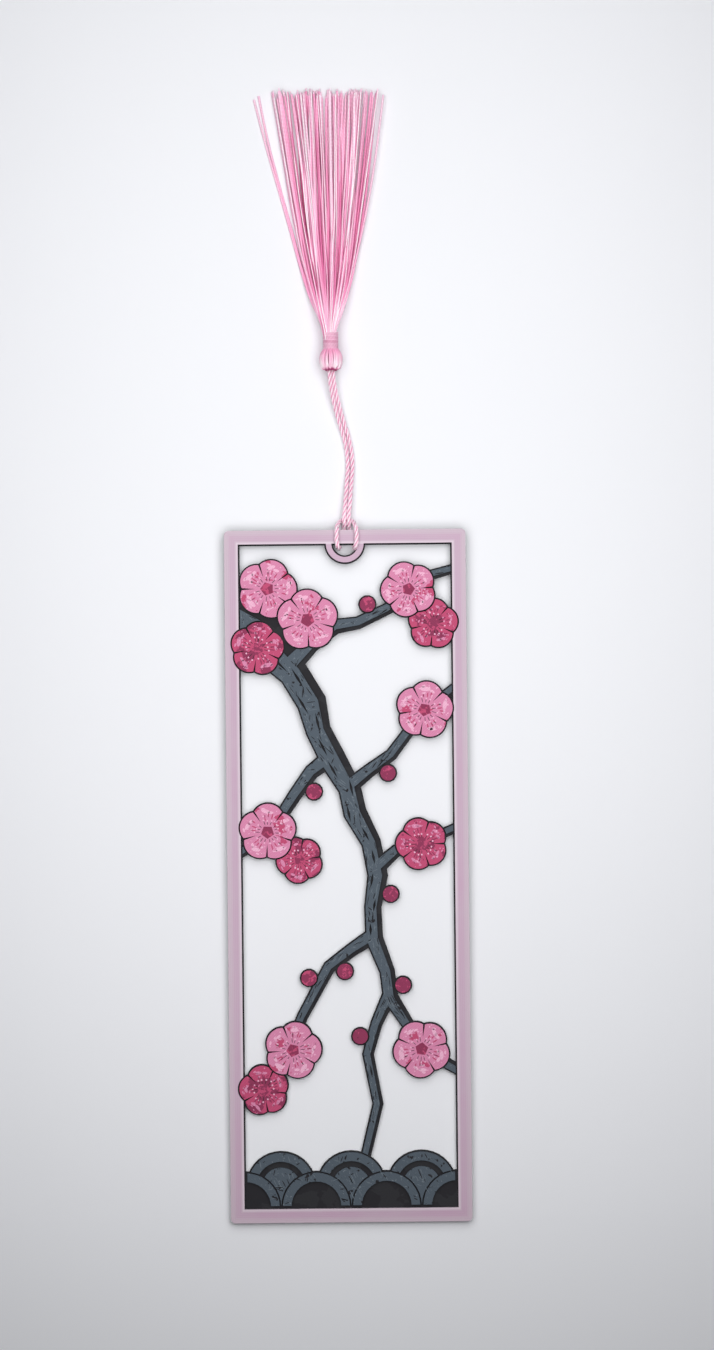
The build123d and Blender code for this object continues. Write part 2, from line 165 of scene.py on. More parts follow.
class CordLook(bpy.types.PropertyGroup):
    """Sizes and colours of the cord"""

    diameter: length_prop("Diameter", "Cord over its plies", 0.95 * MM)
    pitch: length_prop("Pitch", "Length of one full twist", 4.4 * MM)
    plies: count_prop("Plies", "Strands twisted together", 3, 2, 5)
    # Painted shade and light: dark in the lay between the plies, lighter on their sides, light on their
    # crests
    dark: colour_prop("Dark", "Between the plies", (200, 88, 138))
    mid: colour_prop("Middle", "Sides of the plies", (240, 172, 203))
    light: colour_prop("Light", "Crests of the plies", (251, 230, 240))


class TasselLook(bpy.types.PropertyGroup):
    """Sizes and colours of the tassel"""

    thread: length_prop("Thread", "Diameter of a tassel thread", 0.5 * MM)
    row_threads: count_prop("Threads in a layer", "Threads across the lowest layer", 48, 8)
    head_threads: count_prop("Head threads", "Threads round the head", 30, 8)
    wrap_turns: count_prop("Wrap turns", "Turns of thread round the neck", 13, 3)
    deep: colour_prop("Deep", "Thread in deep shade", (182, 66, 118))
    dark: colour_prop("Dark", "Thread in shade", (206, 86, 142))
    mid: colour_prop("Middle", "Thread", (249, 171, 208))
    light: colour_prop("Light", "Thread in light", (252, 213, 233))
    winding: colour_prop("Winding", "Thread wound round the neck", (240, 183, 210))
    # Bright is the colour of painted highlights: fine strands laid on the threads' crests
    bright: colour_prop("Bright", "Filaments that catch the light", (255, 250, 253))


class StageLook(bpy.types.PropertyGroup):
    """Floor, lamps and camera"""

    floor: colour_prop("Floor", "Pale floor", (238, 239, 243))
    backdrop: colour_prop("Backdrop", "Floor seen beyond the picture", (210, 211, 215))
    floor_fade: length_prop("Floor fade", "Way over which the floor turns into the backdrop", 0.055)
    view_height: length_prop("View height", "Height of the picture at the print's face", 296.3 * MM)
    view_distance: length_prop("View distance", "Camera's height over the print's face", 0.9)
    view_x: length_prop("View across", "Where the picture's middle lies, across", 2.4 * MM)
    view_y: length_prop("View along", "Where the picture's middle lies, along", 44.1 * MM)
    lean: FloatProperty(
        name="Lean", description="Turn of the camera", subtype="ANGLE", default=math.radians(-0.6)
    )
    top_power: power_prop("Top power", "Lamp over the tassel", 0.60)
    side_power: power_prop("Side power", "Lamp at the right", 0.80)
    sky: FloatProperty(name="Sky", description="Even light from all round", default=0.075, min=0)


LOOKS = {
    "print_look": PrintLook, "cord_look": CordLook, "tassel_look": TasselLook, "stage_look": StageLook,
}


# Meshes

def new_object(name, data):
    thing = bpy.data.objects.new(name, data)
    bpy.context.scene.collection.objects.link(thing)
    return thing


def mesh_from(name, bm):
    mesh = bpy.data.meshes.new(name)
    bm.to_mesh(mesh)
    bm.free()
    return mesh


def mesh_piece(name, mesh, body, material, smooth=True):
    """A finished piece at the origin that rides on a body."""
    mesh.name = name
    piece = new_object(name, mesh)
    mesh.materials.append(material)
    mesh.polygons.foreach_set("use_smooth", [smooth] * len(mesh.polygons))
    if body:
        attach(piece, body)
    return piece


def bmesh_piece(name, bm, body, material, smooth=False):
    bmesh.ops.recalc_face_normals(bm, faces=bm.faces)
    return mesh_piece(name, mesh_from(name, bm), body, material, smooth)


def curve_mesh(name, paths, radius, spline_type="POLY", resolution=4, bevel_resolution=1):
    """Round tubes along paths of points, as one mesh, with flat ends."""
    curve = bpy.data.curves.new(name, "CURVE")
    curve.dimensions = "3D"
    curve.bevel_depth = radius
    curve.bevel_resolution = bevel_resolution
    for path in paths:
        spline = curve.splines.new(spline_type)
        spline.points.add(len(path) - 1)
        for point, place in zip(spline.points, path):
            point.co = (*place, 1)
        if spline_type == "NURBS":
            spline.order_u = 3
            spline.use_endpoint_u = True
            spline.resolution_u = resolution
    holder = bpy.data.objects.new(name, curve)
    mesh = bpy.data.meshes.new_from_object(holder)
    bpy.data.objects.remove(holder)
    bpy.data.curves.remove(curve)
    bm = bmesh.new()
    bm.from_mesh(mesh)
    caps = bmesh.ops.holes_fill(bm, edges=bm.edges)["faces"]
    for cap in caps:
        for edge in cap.edges:
            edge.smooth = False
    bm.to_mesh(mesh)
    bm.free()
    return mesh


def set_tones(mesh, tones):
    layer = mesh.attributes.new("tone", "FLOAT", "POINT")
    layer.data.foreach_set("value", tones)


def give_tones(mesh, count, tone):
    """A tone for each place on so many tubes of equal points, by tube and share of its length."""
    points = len(mesh.vertices) // count
    set_tones(mesh, [tone(index // points, index % points / points) for index in range(points * count)])


# A thread's tone at its root, and its rise along the thread: painted shade darkens it toward its root. It is
# paler from TIP_START on and up to ROOT_END, as shares of its length, and turns so over the fades; the
# paleness up to ROOT_END is a painted highlight.
TONE_START = 0.05
TONE_RISE = 1.4
TIP_START = 0.90
TIP_FADE = 0.10
ROOT_END = 0.40
ROOT_FADE = 0.14


def thread_tones(count, rng, tip=0.0, root=0.0):
    """Tones at random for so many threads, paler toward their tips and roots."""
    tones = [rng.betavariate(1.6, 1.6) for _ in range(count)]
    root_glints = [min(1.0, root * rng.uniform(0.2, 1.0) ** 2) for _ in range(count)]

    def tone(index, share):
        value = clamp(tones[index] * (TONE_START + TONE_RISE * share))
        near_tip = clamp((share - TIP_START) / TIP_FADE)
        near_root = clamp((ROOT_END - share) / ROOT_FADE)
        return value + (1 - value) * (near_tip * tip + near_root * root_glints[index])

    return tone


# Painted shade and highlight: the rope's darkest depth and the way from there to its lightest, as shares of
# its radius
LAY_DEPTH = 0.54
LAY_RISE = 0.48


def paint_lay_shade(mesh, line, radius):
    """A tone by how far a place lies from the rope's middle: dark in the lay, light outside."""
    tree = KDTree(len(line))
    for index, spot in enumerate(line):
        tree.insert(spot, index)
    tree.balance()
    shares = [tree.find(vertex.co)[2] / radius for vertex in mesh.vertices]
    set_tones(mesh, [clamp((share - LAY_DEPTH) / LAY_RISE) for share in shares])


# Shader parts

# A colour mix's factor and two colours, and its result, among the sockets for all kinds of mix
MIX_INPUTS = (0, 6, 7)
MIX_RESULT = 2
BUMP_DEPTH = 0.03 * MM
VECTOR_INPUTS = ("Vector", "UV")


def feed(tree, value, place):
    """Link another node's output to a socket, or set the socket to a constant."""
    if isinstance(value, bpy.types.NodeSocket):
        tree.links.new(value, place)
    elif place.type == "RGBA":
        place.default_value = (*value, 1)
    else:
        place.default_value = value


def add_node(tree, kind, inputs):
    """A shader node with some of its inputs fed."""
    node = tree.nodes.new(f"ShaderNode{kind}")
    for place, value in inputs.items():
        feed(tree, value, node.inputs[place])
    return node


def math_node(tree, operation, *values, use_clamp=False):
    node = tree.nodes.new("ShaderNodeMath")
    node.operation = operation
    node.use_clamp = use_clamp
    for place, value in zip(node.inputs, values):
        feed(tree, value, place)
    return node.outputs[0]


def mix_colours(tree, factor, *colours):
    node = tree.nodes.new("ShaderNodeMix")
    node.data_type = "RGBA"
    for place, value in zip(MIX_INPUTS, (factor, *colours)):
        feed(tree, value, node.inputs[place])
    return node.outputs[MIX_RESULT]


def add_ramp(tree, value, stops):
    """A colour for a value from 0 to 1, from stops along that way."""
    ramp = add_node(tree, "ValToRGB", {0: value})
    elements = ramp.color_ramp.elements
    first, *between, last = stops
    elements[0].color = (*first[1], 1)
    elements[1].color = (*last[1], 1)
    for place, colour in between:
        elements.new(place).color = (*colour, 1)
    return ramp.outputs[0]


def new_group(name, inputs, outputs):
    """An empty shader group, with the sockets that it starts from and ends in."""
    group = bpy.data.node_groups.new(name, "ShaderNodeTree")
    for label in inputs:
        kind = "NodeSocketVector" if label in VECTOR_INPUTS else "NodeSocketFloat"
        group.interface.new_socket(name=label, in_out="INPUT", socket_type=kind)
    for label in outputs:
        group.interface.new_socket(name=label, in_out="OUTPUT", socket_type="NodeSocketFloat")
    start = group.nodes.new("NodeGroupInput")
    end = group.nodes.new("NodeGroupOutput")
    return group, start.outputs, end.inputs


def printed_lines_group():
    """Ridges of printed lines along a distance, and of layers along the height."""
    inputs = ("Distance", "Level", "Line width", "Layer height")
    group, start, end = new_group("Printed lines", inputs, ("Height", "Groove shade"))

    def ridges(place, size):
        count = math_node(group, "DIVIDE", start[place], start[size])
        wave = math_node(group, "SINE", math_node(group, "MULTIPLY", count, math.pi))
        return math_node(group, "ABSOLUTE", wave)

    lines = ridges("Distance", "Line width")
    layers = ridges("Level", "Layer height")
    group.links.new(math_node(group, "ADD", lines, layers), end["Height"])
    painted_groove_shade = math_node(group, "SUBTRACT", 1.0, math_node(group, "POWER", lines, 0.35))
    group.links.new(painted_groove_shade, end["Groove shade"])
    return group


def patches_group():
    """Crisp patches and fine specks over a surface."""
    inputs = ("Vector", "Patch scale", "Patch level", "Softness", "Speck scale", "Speck level")
    group, start, end = new_group("Colour patches", inputs, ("Patch", "Speck"))
    for name, detail in (("Patch", 3), ("Speck", 2)):
        noise = add_node(group, "TexNoise", {
            "Vector": start["Vector"], "Scale": start[f"{name} scale"], "Detail": detail, "Roughness": 0.6,
        })
        raised = math_node(group, "SUBTRACT", noise.outputs["Fac"], start[f"{name} level"])
        mask = math_node(group, "DIVIDE", raised, start["Softness"], use_clamp=True)
        group.links.new(mask, end[name])
    return group


def fibres_group():
    """Fine fibres laid slantwise round a thread, on its own UV map."""
    group, start, end = new_group("Silky fibres", ("UV", "Along", "Around"), ("Height", "Shade"))
    parts = add_node(group, "SeparateXYZ", {0: start["UV"]}).outputs
    along = math_node(group, "MULTIPLY", parts[0], start["Along"])
    around = math_node(group, "MULTIPLY", parts[1], start["Around"])
    turn = math_node(group, "MULTIPLY", math_node(group, "ADD", along, around), 2 * math.pi)
    wave = math_node(group, "MULTIPLY_ADD", math_node(group, "SINE", turn), 0.5, 0.5)
    group.links.new(wave, end["Height"])
    noise = add_node(group, "TexNoise", {"Vector": start["UV"], "Scale": 60, "Detail": 2})
    group.links.new(math_node(group, "MULTIPLY", wave, noise.outputs["Fac"]), end["Shade"])
    return group


GROUPS = {}


def place_group(tree, name, inputs):
    """The outputs of a shared shader group, built on its first use, with its inputs fed."""
    makers = {"lines": printed_lines_group, "patches": patches_group, "fibres": fibres_group}
    if name not in GROUPS:
        GROUPS[name] = makers[name]()
    node = tree.nodes.new("ShaderNodeGroup")
    node.node_tree = GROUPS[name]
    for place, value in inputs.items():
        feed(tree, value, node.inputs[place])
    return node.outputs


def new_material(name, roughness, gloss):
    material = bpy.data.materials.new(name)
    material.use_nodes = True
    tree = material.node_tree
    shader = tree.nodes["Principled BSDF"]
    shader.inputs["Roughness"].default_value = roughness
    shader.inputs["Specular IOR Level"].default_value = gloss
    coordinates = tree.nodes.new("ShaderNodeTexCoord")
    return material, tree, shader, coordinates.outputs


def dress(tree, shader, colour, height, strength):
    """A shader's colour, and the fine relief of its surface."""
    tree.links.new(colour, shader.inputs["Base Color"])
    bump = add_node(tree, "Bump", {"Strength": strength, "Distance": BUMP_DEPTH, "Height": height})
    tree.links.new(bump.outputs[0], shader.inputs["Normal"])


def split_place(tree, coordinates, angle=0.0):
    """The three coordinates of a place, turned about Z."""
    turned = add_node(tree, "Mapping", {"Vector": coordinates["Object"], "Rotation": (0, 0, angle)})
    return add_node(tree, "SeparateXYZ", {0: turned.outputs[0]}).outputs


def print_lines(tree, distance, level):
    look = bpy.context.scene.print_look
    return place_group(tree, "lines", {
        "Distance": distance, "Level": level,
        "Line width": look.line_width, "Layer height": look.layer_height,
    })


def add_patches(tree, coordinates, patch, speck, softness=0.02):
    """Patch and speck masks, each from a size in millimetres and a level."""
    return place_group(tree, "patches", {
        "Vector": coordinates["Object"], "Softness": softness,
        "Patch scale": 1 / (patch[0] * MM), "Patch level": patch[1],
        "Speck scale": 1 / (speck[0] * MM), "Speck level": speck[1],
    })


# The frame's bar, in millimetres from its outer edge: its width, where the painted highlight on its last
# printed line begins and is full, and where nothing of the bar is left
BAR_WIDTH = 3.0
LINE_HIGHLIGHT_SPAN = (2.35, 2.75)
BAR_END = 3.1
# How much of the edge colour, a painted highlight, the bar shows along its width
BAR_HIGHLIGHT_STOPS = ((0.0, 1.0), (0.30, 0.7), (0.42, 0.1), (0.72, 0.0), (0.84, 0.5), (1.0, 0.75))
# What makes the mauve a little pinker in patches
PINKER = (1.0, 0.90, 0.97)
# How much of the painted highlight the last line shows
LINE_HIGHLIGHT_SHARE = 0.8
# How much painted shade darkens the grooves between lines, on the frame and on the picture
MAUVE_GROOVE_SHADE = 0.14
GROOVE_SHADE = 0.18
PRINT_BUMP = 0.35
# The tone of a thread's middle colour, and how strongly its fibres darken it with painted shade and raise it
MIDDLE_TONE = 0.45
FIBRE_SHADE = 0.3
FIBRE_BUMP = 0.3
# The lines of most prints run at this angle
SLANT = math.radians(45)


def mauve_filament():
    """Pale filament laid in lines along the frame, lighter along its edges."""
    look = bpy.context.scene.print_look
    material, tree, shader, coordinates = new_material("mauve_filament", roughness=0.5, gloss=0.6)
    x, y, z = split_place(tree, coordinates)
    from_side = math_node(tree, "SUBTRACT", PANEL_HIGH.x, math_node(tree, "ABSOLUTE", x))
    from_end = math_node(tree, "SUBTRACT", PANEL_HIGH.y, math_node(tree, "ABSOLUTE", y))
    edge = math_node(tree, "MINIMUM", from_side, from_end)
    lines = print_lines(tree, edge, z)
    on_bar = math_node(tree, "LESS_THAN", edge, BAR_END * MM)
    share = math_node(tree, "DIVIDE", edge, BAR_WIDTH * MM)
    highlight_ramp = add_ramp(tree, share, [(place, (value,) * 3) for place, value in BAR_HIGHLIGHT_STOPS])
    edge_highlight = math_node(tree, "MULTIPLY", highlight_ramp, on_bar)
    inner = add_node(tree, "MapRange", {
        "Value": edge, "From Min": LINE_HIGHLIGHT_SPAN[0] * MM, "From Max": LINE_HIGHLIGHT_SPAN[1] * MM,
    })
    inner.interpolation_type = "SMOOTHSTEP"
    line_highlight_mask = math_node(tree, "MULTIPLY", inner.outputs["Result"], on_bar)
    line_highlight = math_node(tree, "MULTIPLY", line_highlight_mask, LINE_HIGHLIGHT_SHARE)
    painted_groove_shade = math_node(tree, "MULTIPLY", lines["Groove shade"], MAUVE_GROOVE_SHADE)
    patches = add_patches(tree, coordinates, (14, 0.35), (0.5, 0.55), softness=0.35)
    pinker = [a * b for a, b in zip(look.mauve, PINKER)]
    middle = mix_colours(tree, patches["Patch"], look.mauve, pinker)
    with_edge_highlight = mix_colours(tree, edge_highlight, middle, look.mauve_edge_highlight)
    with_line_highlight = mix_colours(tree, line_highlight, with_edge_highlight, look.mauve_line_highlight)
    dress(tree, shader, mix_colours(tree, painted_groove_shade, with_line_highlight, look.deep), lines["Height"], PRINT_BUMP)
    return material


def filament(name, ground, patch_colour, speck_colour, patch, speck, angle=SLANT):
    """Printed colour with crisp patches and specks, laid in slanting lines."""
    look = bpy.context.scene.print_look
    material, tree, shader, coordinates = new_material(name, roughness=0.6, gloss=0.15)
    across, _, level = split_place(tree, coordinates, angle)
    lines = print_lines(tree, across, level)
    patches = add_patches(tree, coordinates, patch, speck)
    patched = mix_colours(tree, patches["Patch"], ground, patch_colour)
    specked = mix_colours(tree, patches["Speck"], patched, speck_colour)
    painted_groove_shade = math_node(tree, "MULTIPLY", lines["Groove shade"], GROOVE_SHADE)
    dress(tree, shader, mix_colours(tree, painted_groove_shade, specked, look.black), lines["Height"], PRINT_BUMP)
    return material


def thread_material(name, along, around, dark, mid, light, gloss=0.4):
    """Silky thread: a tone for each thread, with fine fibres."""
    material, tree, shader, coordinates = new_material(name, roughness=0.3, gloss=gloss)
    tone = tree.nodes.new("ShaderNodeAttribute")
    tone.attribute_name = "tone"
    colour = add_ramp(tree, tone.outputs["Fac"], ((0.0, dark), (MIDDLE_TONE, mid), (1.0, light)))
    fibres = place_group(tree, "fibres", {"UV": coordinates["UV"], "Along": along, "Around": around})
    fibre_shade = math_node(tree, "MULTIPLY", fibres["Shade"], FIBRE_SHADE)
    dress(tree, shader, mix_colours(tree, fibre_shade, colour, dark), fibres["Height"], FIBRE_BUMP)
    return material


# Print finish

def finish_prints():
    """Colours for the printed nodes."""
    look = bpy.context.scene.print_look
    jet = (0.02, 0.02, 0.023)
    ash = (0.16, 0.19, 0.22)
    black = filament("black_filament", look.black, jet, look.grey, (6, 0.5), (0.5, 0.8))
    bark = filament("grey_bark", look.grey, look.black, ash, (1.6, 0.64), (0.7, 0.66), -SLANT)
    rose = filament("rose_petal", look.rose, look.deep, look.pink, (2.6, 0.55), (0.9, 0.68))
    pink = filament("pink_petal", look.pink, look.rose, look.pale, (3.4, 0.60), (0.9, 0.66))
    deep = filament("deep_rose", look.deep, look.rose, look.black, (1.2, 0.55), (0.5, 0.72), -SLANT)
    finishes = {
        ("base_frame", "base_hanger", "base_picture"): (black, "print_black"),
        ("frame_border",): (mauve_filament(), "print_mauve"),
        ("bark", "wave_scales"): (bark, "print_grey"),
        ("petals_rose",): (rose, "print_rose"),
        ("petals_pink",): (pink, "print_pink"),
        ("flower_hearts", "buds"): (deep, "print_deep_rose"),
    }
    for names, (material, slot) in finishes.items():
        for name in names:
            node = NODES[name]
            node.data.materials.clear()
            node.data.materials.append(material)


# Fine details of the print

PETALS = 5
# A heart's radius as a share of its blossom's, and a span in millimetres that no heart reaches
HEART_SHARE = 0.24
HEART_SPAN = 3.4
# A patch's height, and how near to each other two levels count as one
FLAT = 0.07 * MM
SAME_LEVEL = 0.01 * MM
# A patch is tried on a rim this much larger, and at these shares of the way to it
TRIED_RIM = 1.15
TRIED_WAY = (0.2, 0.4, 0.6, 0.8)
# Highlights of a petal: reach and half sizes as shares of the blossom's radius, with the angle aside
HIGHLIGHTS = (
    (0.74, 0.10, 0.17, 0.075), (0.70, -0.20, 0.10, 0.05), (0.84, 0.24, 0.07, 0.035),
    (0.58, 0.22, 0.06, 0.035),
)
# Angles of a petal's streaks and stamens from its axis
STREAK_SIDES = (-0.26, -0.02, 0.22)
STAMEN_SIDES = (-0.36, 0.0, 0.36)
# Sizes of a stamen: where it starts, as a share of the radius, its half width and its anther
STAMEN_START = 0.25
STAMEN_HALF = 0.07 * MM
ANTHER_REACH = 0.12 * MM
ANTHER_RADIUS = 0.2 * MM
BARK_STROKES = 900


def top_faces(name):
    """The corners of a printed node's upward faces."""
    mesh = NODES[name].data
    level = max(vertex.co.z for vertex in mesh.vertices)
    faces = []
    for polygon in mesh.polygons:
        corners = [mesh.vertices[i].co for i in polygon.vertices]
        if all(level - corner.z < SAME_LEVEL for corner in corners):
            faces.append(corners)
    return faces


def top_finder(*names):
    """A function that gives the level of the printed nodes under a place, or None beside them."""
    corners = []
    triangles = []
    for name in names:
        for face in top_faces(name):
            triangles.append(tuple(range(len(corners), len(corners) + len(face))))
            corners += face
    tree = BVHTree.FromPolygons(corners, triangles)

    def level(x, y):
        hit = tree.ray_cast(Vector((x, y, 0.1)), Vector((0, 0, -1)))[0]
        return None if hit is None else hit.z

    return level


def heart_islands():
    """Each blossom's middle, radius and the angle of its first petal, from its heart."""
    corners = {
        tuple(round(value / MM, 3) for value in corner[:2])
        for face in top_faces("flower_hearts")
        for corner in face
    }
    hearts = []
    for spot in sorted(corners):
        near = [heart for heart in hearts if math.dist(heart[0], spot) < HEART_SPAN]
        if near:
            near[0].append(spot)
        else:
            hearts.append([spot])
    for heart in hearts:
        x = sum(spot[0] for spot in heart) / len(heart)
        y = sum(spot[1] for spot in heart) / len(heart)
        reach = math.dist(heart[0], (x, y))
        angle = math.atan2(heart[0][1] - y, heart[0][0] - x) + math.pi / PETALS
        yield x * MM, y * MM, reach / HEART_SHARE * MM, angle


def away(middle, reach, angle):
    """The place at a reach and an angle from a middle."""
    return middle[0] + reach * math.cos(angle), middle[1] + reach * math.sin(angle)


class Flats:
    """Thin printed patches of one colour, gathered into one mesh."""

    def __init__(self, level, segments=10):
        self.bm = bmesh.new()
        self.level = level
        self.segments = segments

    def add(self, x, y, half_length, half_width, turn, reach_from=None):
        """An oval patch. It is left out where its rim, or the way to it, leaves the surface."""
        middle = self.level(x, y)
        if middle is None:
            return
        cos, sin = math.cos(turn), math.sin(turn)
        spots = []
        for step in range(8):
            angle = step * math.pi / 4
            u = TRIED_RIM * half_length * math.cos(angle)
            v = TRIED_RIM * half_width * math.sin(angle)
            spots.append((x + u * cos - v * sin, y + u * sin + v * cos))
        if reach_from:
            from_x, from_y = reach_from
            spots += [(from_x + (x - from_x) * share, from_y + (y - from_y) * share) for share in TRIED_WAY]
        levels = [self.level(*spot) for spot in spots]
        if any(value is None or abs(value - middle) > SAME_LEVEL for value in levels):
            return
        shape = Matrix.Diagonal((half_length, half_width, FLAT, 1))
        place = Matrix.Translation((x, y, middle - 0.15 * FLAT))
        bmesh.ops.create_cone(
            self.bm, cap_ends=True, segments=self.segments, radius1=1, radius2=1, depth=1,
            matrix=place @ Matrix.Rotation(turn, 4, "Z") @ shape,
        )

    def finish(self, name, material, slot):
        bmesh_piece(name, self.bm, "panel", material)


def print_blossoms():
    """Pale patches, streaks, specks and stamens on the petals."""
    look = bpy.context.scene.print_look
    rng = random.Random(SEEDS["blossoms"])
    pink_level = top_finder("petals_pink")
    rose_level = top_finder("petals_rose")
    any_level = top_finder("petals_pink", "petals_rose")
    pale = filament("pale_patch", look.pale, look.pink, look.pale, (1.5, 0.58), (0.6, 0.62))
    rose = filament("rose_patch", look.rose, look.deep, look.pink, (1.5, 0.60), (0.6, 0.68))
    pink = filament("pink_patch", look.pink, look.rose, look.pale, (1.5, 0.60), (0.6, 0.64))
    deep = filament("deep_patch", look.deep, look.black, look.rose, (1.2, 0.62), (0.5, 0.70))
    black = filament("black_line", look.black, look.deep, look.grey, (1.2, 0.70), (0.5, 0.75))
    on_pink = (Flats(pink_level), Flats(pink_level, 8))
    on_rose = (Flats(rose_level), Flats(rose_level, 8))
    stamens = Flats(any_level, 6)
    anthers = Flats(any_level, 8)
    for x, y, radius, first in heart_islands():
        for petal in range(PETALS):
            axis = first + petal * 2 * math.pi / PETALS
            for light, dark in (on_pink, on_rose):
                paint_petal(light, dark, (x, y), radius, axis, rng)
            for side in STAMEN_SIDES:
                angle = axis + side + rng.uniform(-0.05, 0.05)
                reach = radius * rng.uniform(0.36, 0.46)
                start = STAMEN_START * radius
                half = (reach - start) / 2
                stamens.add(*away((x, y), start + half, angle), half, STAMEN_HALF, angle)
                tip = away((x, y), reach + ANTHER_REACH, angle)
                anthers.add(*tip, ANTHER_RADIUS, ANTHER_RADIUS, angle)
    on_pink[0].finish("pale_petal_patches", pale, "print_pink")
    on_pink[1].finish("rose_petal_streaks", rose, "print_rose")
    on_rose[0].finish("pink_petal_patches", pink, "print_pink")
    on_rose[1].finish("deep_petal_streaks", deep, "print_deep_rose")
    stamens.finish("stamens", black, "print_black")
    anthers.finish("anthers", pale, "print_pink")


def paint_petal(light, dark, middle, radius, axis, rng):
    """One petal's patches: highlights and specks near the rim, and streaks out from the heart."""

    def spot(reach, angle):
        return away(middle, reach * radius, angle)

    start = spot(0.32, axis)
    for reach, side, half_length, half_width in HIGHLIGHTS:
        angle = axis + side + rng.uniform(-0.06, 0.06)
        turn = angle + math.pi / 2 + rng.uniform(-0.5, 0.5)
        size = rng.uniform(0.8, 1.15) * radius
        light.add(*spot(reach, angle), half_length * size, half_width * size, turn, start)
    for _ in range(5):
        angle = axis + rng.uniform(-0.42, 0.42)
        size = rng.uniform(0.014, 0.026) * radius
        light.add(*spot(rng.uniform(0.55, 0.92), angle), size * 1.4, size, rng.uniform(0, math.pi), start)
    for side in STREAK_SIDES:
        angle = axis + side + rng.uniform(-0.06, 0.06)
        reach = rng.uniform(0.50, 0.62)
        dark.add(*spot(reach, angle), rng.uniform(0.07, 0.12) * radius, 0.022 * radius, angle, start)


def print_bark():
    """Light and dark strokes that follow the limbs and the waves."""
    look = bpy.context.scene.print_look
    rng = random.Random(SEEDS["bark"])
    faces = top_faces("bark") + top_faces("wave_scales")
    level = top_finder("bark", "wave_scales")
    areas = [((f[1] - f[0]).cross(f[2] - f[0])).length for f in faces]
    light_strokes = Flats(level, 6)
    dark_strokes = Flats(level, 6)
    for index, face in enumerate(rng.choices(faces, areas, k=BARK_STROKES)):
        edges = sorted((b - a for a, b in zip(face, face[1:] + face[:1])), key=lambda edge: edge.length)
        longest = edges[-1]
        turn = math.atan2(longest.y, longest.x) + rng.uniform(-0.12, 0.12)
        u, v = sorted((rng.random(), rng.random()))
        place = face[0] * u + face[1] * (v - u) + face[2] * (1 - v)
        strokes = light_strokes if index % 3 else dark_strokes
        strokes.add(place.x, place.y, rng.uniform(0.35, 1.3) * MM, rng.uniform(0.06, 0.13) * MM, turn)
    ash = (0.13, 0.16, 0.19)
    pale_ash = (0.2, 0.23, 0.26)
    jet = (0.01, 0.01, 0.012)
    light = filament("light_bark", ash, look.grey, pale_ash, (1.5, 0.55), (0.5, 0.7), 0.6)
    dark = filament("dark_bark", look.black, jet, look.grey, (1.5, 0.55), (0.5, 0.75), 0.6)
    light_strokes.finish("light_bark_strokes", light, "print_grey")
    dark_strokes.finish("dark_bark_strokes", dark, "print_black")


# Cord

def leg_points(side):
    points = []
    for x, y, z, roll in LEG_ROUTE:
        across = side * LEG_HALF * math.cos(math.radians(roll))
        rise = -side * LEG_HALF * math.sin(math.radians(roll))
        points.append((x + across, y, z + rise))
    return points


def cord_line():
    """The smooth line of the whole loop, from the left leg's end round the bar to the right's."""
    left = [(HITCH_SHIFT - x, y, z) for x, y, z in HITCH_ROUTE[1:]] + leg_points(-1)
    right = [(HITCH_SHIFT + x, y, z) for x, y, z in HITCH_ROUTE] + leg_points(1)
    route = [Vector(p) * MM for p in [*reversed(left), *right]]
    mesh = curve_mesh("cord_route", [route], 0, "NURBS", resolution=20)
    line = [vertex.co.copy() for vertex in mesh.vertices]
    bpy.data.meshes.remove(mesh)
    return line


def twist(line, plies, pitch, offset):
    """The plies' own lines, wound round a line."""
    side = (line[1] - line[0]).normalized().orthogonal().normalized()
    paths = [[] for _ in range(plies)]
    along = 0.0
    for index, spot in enumerate(line):
        heading = (line[min(index + 1, len(line) - 1)] - line[max(index - 1, 0)]).normalized()
        side = side - heading * side.dot(heading)
        side.normalize()
        other = heading.cross(side)
        if index:
            along += (spot - line[index - 1]).length
        for ply, path in enumerate(paths):
            angle = 2 * math.pi * (along / pitch + ply / plies)
            path.append(spot + (side * math.cos(angle) + other * math.sin(angle)) * offset)
    return paths


def make_cord():
    """The rope of the loop: its hitch, the two bends past it and the two free legs."""
    look = bpy.context.scene.cord_look
    line = cord_line()
    ratio = 1 / math.sin(math.pi / look.plies)
    ply_radius = look.diameter / 2 / (1 + ratio)
    paths = twist(line, look.plies, look.pitch, ply_radius * ratio)
    material = thread_material("cord_silk", 60, 3, look.dark, look.mid, look.light, gloss=0.6)
    middle = len(line) // 2

    def span(low, high, left):
        """The first and last place on one side of the loop between two heights along Y."""
        side = range(0, middle) if left else range(middle, len(line))
        inside = [i for i in side if low * MM <= line[i].y <= high * MM]
        return max(inside[0] - 1, 0), min(inside[-1] + 1, len(line) - 1)

    def rope(name, first, last, fullness=LEG_FULLNESS):
        plies = [path[first:last + 1] for path in paths]
        mesh = curve_mesh(name, plies, ply_radius * fullness, bevel_resolution=2)
        paint_lay_shade(mesh, line[first:last + 1], look.diameter / 2)
        return mesh_piece(name, mesh, None, material)

    top = LEG_ROUTE[-1][1]
    left_root = span(ROOT_CUT, LEG_CUT, True)
    right_root = span(ROOT_CUT, LEG_CUT, False)
    hitch = rope("hitch_rope", left_root[1] - 1, right_root[0] + 1, HITCH_FULLNESS)
    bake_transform(hitch)
    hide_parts("cord_hitch")
    for name, left, root in (("left", True, left_root), ("right", False, right_root)):
        bend = rope(f"root_rope_{name}", *root)
        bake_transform(bend)
        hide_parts("cord_root")
        first, last = span(LEG_CUT, top, left)
        leg = rope(f"leg_rope_{name}", first, last)
        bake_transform(leg)
        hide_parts(f"cord_leg_{name}")
        path = line[first:last + 1]
        measure = sum((b - a).length for a, b in zip(path, path[1:]))
        x, y, z = HITCH_ROUTE[-1]
        [tuple(p) for p in path]


# Tassel

